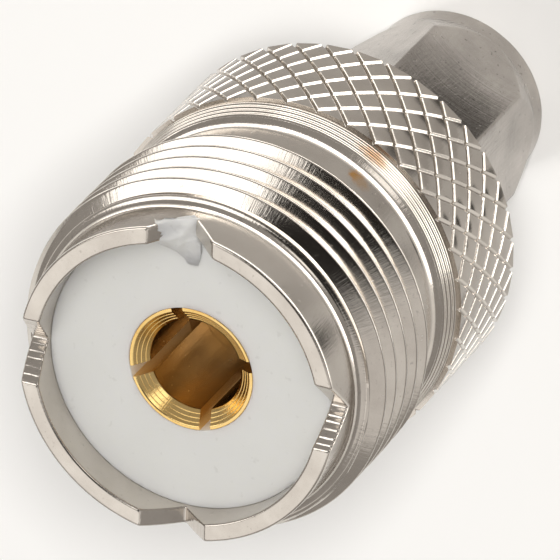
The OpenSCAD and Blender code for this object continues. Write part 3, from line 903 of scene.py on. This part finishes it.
# Stage: a pale floor under soft studio light, and the camera at the photograph's angle, looking down
# into the socket from 55 degrees above the floor. Near points from the axis to the camera along the floor,
# and beside points across it.
across, tilt, lean = math.radians(-36.7), math.radians(35.2), math.radians(45.9)
near = Vector((math.cos(across), math.sin(across), 0))
beside = Vector((math.sin(across), -math.cos(across), 0))
up, down_axis = Vector((0, 0, 1)), Vector((0, 0, -1))
forward = down_axis * math.cos(tilt) - near * math.sin(tilt)
rise = near * math.cos(tilt) + down_axis * math.sin(tilt)
right = rise * math.cos(lean) + beside * math.sin(lean)
down = beside * math.cos(lean) - rise * math.sin(lean)
lip_right, lip_down, camera_far = -4.230, 4.259, 700
lens = bpy.data.cameras.new("camera")
lens.sensor_width = 36
lens.lens = 1113.75
lens.clip_start, lens.clip_end = 0.05, 20
camera = bpy.data.objects.new("camera", lens)
bpy.context.collection.objects.link(camera)
stand_point = (up * lip_top - (right * lip_right + down * lip_down + forward * camera_far)) * mm
camera.matrix_world = Matrix.Translation(stand_point) @ Matrix((right, -down, -forward)).transposed().to_4x4()
bpy.context.scene.camera = camera


def matt(shader):
    """Matt paper or paint."""
    shader.inputs["Roughness"].default_value = 0.9
    shader.inputs["Specular IOR Level"].default_value = 0.1


def flat_piece(name, verts, faces, material):
    """Flat piece of the studio."""
    mesh = bpy.data.meshes.new(name)
    mesh.from_pydata(verts, [], faces)
    mesh.materials.append(material)
    made = bpy.data.objects.new(name, mesh)
    bpy.context.collection.objects.link(made)
    return made


floor_paint, tree, shader = new_material("floor_paint")
where = placed(tree, "ShaderNodeTexCoord").outputs["Object"]
mottle = placed(tree, "ShaderNodeTexNoise", {"Vector": where, "Scale": 40.0, "Detail": 3.0}).outputs[0]
tree.links.new(blend(tree, mottle, (0.90, 0.90, 0.895), (0.88, 0.88, 0.875)), shader.inputs["Base Color"])
matt(shader)
floor_half = 1.5
floor_corners = [(floor_half * a, floor_half * b, 0) for a, b in ((-1, -1), (1, -1), (1, 1), (-1, 1))]
floor = flat_piece("floor", floor_corners, [(0, 1, 2, 3)], floor_paint)

# A card of grey tones lies on the floor, out of the picture. The camera, shadows and matt surfaces ignore it,
# so only
# the upright metal faces show it: painted shade in their reflections, standing in for a shaded floor. Its
# greys start beyond the picture's upper and right edge, and two dark patches, painted shadows, face the
# thread and the nut.
shade_card_paint, tree, shader = new_material("painted_shade_card_paper")
do, put = tools(tree)
where = put("ShaderNodeTexCoord").outputs["Object"]
towards_up, towards_right = near * 0.5867 - beside * 0.696, near * 0.5687 + beside * 0.718
painted_shadow_patch, painted_nut_shadow = (near * 18.5 + beside * 17.5) * mm, near * 10.5 * mm


def measured(operation, other):
    """Place on the card, measured against another vector."""
    return put("ShaderNodeVectorMath", {0: where, 1: tuple(other)}, operation=operation).outputs["Value"]


def fade(value, start, end):
    """Soft mask from a start to an end."""
    return ramp(tree, value, start * mm, end * mm, interpolation_type="SMOOTHSTEP")


from_axis = put("ShaderNodeVectorMath", {0: where}, operation="LENGTH").outputs["Value"]
right_shade = do("MULTIPLY", fade(measured("DOT_PRODUCT", towards_right), 4.2, 9), 0.7)
shade = do("MAXIMUM", fade(measured("DOT_PRODUCT", towards_up), 3.9, 7.5), right_shade)
shade = do("MULTIPLY", shade, fade(from_axis, 48, 24))
tone = blend(tree, shade, (0.89, 0.89, 0.885), (0.44, 0.43, 0.42))
# Painted shadows: the two dark patches darken what the thread and the nut reflect
tone = blend(tree, fade(measured("DISTANCE", painted_shadow_patch), 5.6, 2.5), tone, (0.05, 0.048, 0.046))
tone = blend(tree, fade(measured("DISTANCE", painted_nut_shadow), 5, 2), tone, (0.10, 0.096, 0.092))
tree.links.new(tone, shader.inputs["Base Color"])
matt(shader)
card_lift = up * 0.05
card_outline = [(7.1, 0.3), (-20, -22.6), (-20, -60), (60, -60), (60, 60), (-12, 60), (-12, 15.4)]
card_corners = [tuple((near * a + beside * b + card_lift) * mm) for a, b in card_outline]
card = flat_piece("grey_card", card_corners, [(0, 1, 2, 3), (0, 3, 4, 5, 6)], shade_card_paint)
card.visible_camera = card.visible_shadow = card.visible_diffuse = False


def softbox(name, aim, along, far, wide, tall, level, target=(0, 0, 0.018)):
    """Rectangular lamp, in metres, that faces the object with a brightness and shows in gloss only."""
    lamp = bpy.data.lights.new(name, "AREA")
    lamp.shape = "RECTANGLE"
    lamp.size, lamp.size_y = wide, tall
    lamp.energy = level * math.pi * wide * tall
    lamp.color = (1.0, 0.985, 0.96)
    back = aim.normalized()
    side = (along - back * along.dot(back)).normalized()
    made = bpy.data.objects.new(name, lamp)
    bpy.context.collection.objects.link(made)
    facing = Matrix((side, back.cross(side), back)).transposed().to_4x4()
    made.matrix_world = Matrix.Translation(Vector(target) + back * far) @ facing
    made.visible_camera = False
    made.visible_diffuse = False
    return made


def flagged(lamp, receivers):
    """Makes a lamp light the matt surfaces of some objects only, unseen in gloss."""
    lamp.visible_diffuse, lamp.visible_glossy = True, False
    lit = bpy.data.collections.new(lamp.name + "_falls_on")
    for item in receivers:
        lit.objects.link(item)
    lamp.light_linking.receiver_collection = lit


def low_card(name, heading, far, wide, tall, level):
    """Small card that stands on the floor beside the object and tilts up a little."""
    softbox(name, heading, up.cross(heading - up * heading.z), far, wide, tall, level, (0, 0, 0))


pieces = [item for item in bpy.context.scene.objects if item.type == "MESH" and item not in (floor, card)]
floor_heading = up * 0.817 + near * 0.576
flagged(softbox("floor_light", floor_heading, beside, far=0.7, wide=0.12, tall=0.12, level=78), [floor, card])
back_heading = up * 0.66 - near * 0.70 - beside * 0.26
flagged(softbox("back_light", back_heading, beside, far=0.6, wide=0.2, tall=0.2, level=10), [floor, card])
face_heading = up * 0.89 + near * 0.42 - beside * 0.15
flagged(softbox("face_light", face_heading, beside, far=0.5, wide=0.5, tall=0.5, level=2.9), pieces)
strip_heading = up * 0.815 + near * 0.04 - beside * 0.575
strip_along = near * 0.522 + beside * 0.391 + up * 0.243
softbox("strip_card", strip_heading, strip_along, far=0.5, wide=0.46, tall=0.24, level=2.0)
softbox("lip_card", up * 0.817 - near * 0.576, beside, far=0.5, wide=0.42, tall=0.34, level=0.78)
softbox("fill_card", up * 0.78 + beside * 0.62, near, far=0.5, wide=0.40, tall=0.36, level=0.42)
near_heading = up * 0.57 + near * 0.80 + beside * 0.07
softbox("near_card", near_heading, beside, far=0.5, wide=0.18, tall=0.14, level=1.5)
low_heading = near * 0.92 - beside * 0.36 + up * 0.22
low_card("low_card", low_heading, far=0.062, wide=0.09, tall=0.028, level=3.2)
low_far_heading = near * 0.88 + beside * 0.47 + up * 0.22
low_card("low_far_card", low_far_heading, far=0.062, wide=0.07, tall=0.028, level=3.2)
low_side_heading = near * 0.20 - beside * 0.98 + up * 0.24
low_card("low_side_card", low_side_heading, far=0.038, wide=0.04, tall=0.018, level=1.8)

# The studio's walls are dim, with a dark gap overhead that the thread shows as its black band
gap_heading = (up * 0.941 + near * 0.327 + beside * 0.079).normalized()
gap_edge, gap_core = math.cos(math.radians(29)), math.cos(math.radians(22))
sky = bpy.data.worlds.new("studio")
bpy.context.scene.world = sky
sky.use_nodes = True
tree = sky.node_tree
ray = placed(tree, "ShaderNodeTexCoord").outputs["Generated"]
facing = placed(tree, "ShaderNodeVectorMath", {0: ray, 1: tuple(gap_heading)}, operation="DOT_PRODUCT")
gap_mask = ramp(tree, facing.outputs["Value"], gap_edge, gap_core, interpolation_type="SMOOTHSTEP")
walls = blend(tree, gap_mask, (0.36, 0.342, 0.324), (0.022, 0.020, 0.018))
tree.links.new(walls, tree.nodes["Background"].inputs["Color"])

bpy.context.scene.view_settings.view_transform = "Standard"
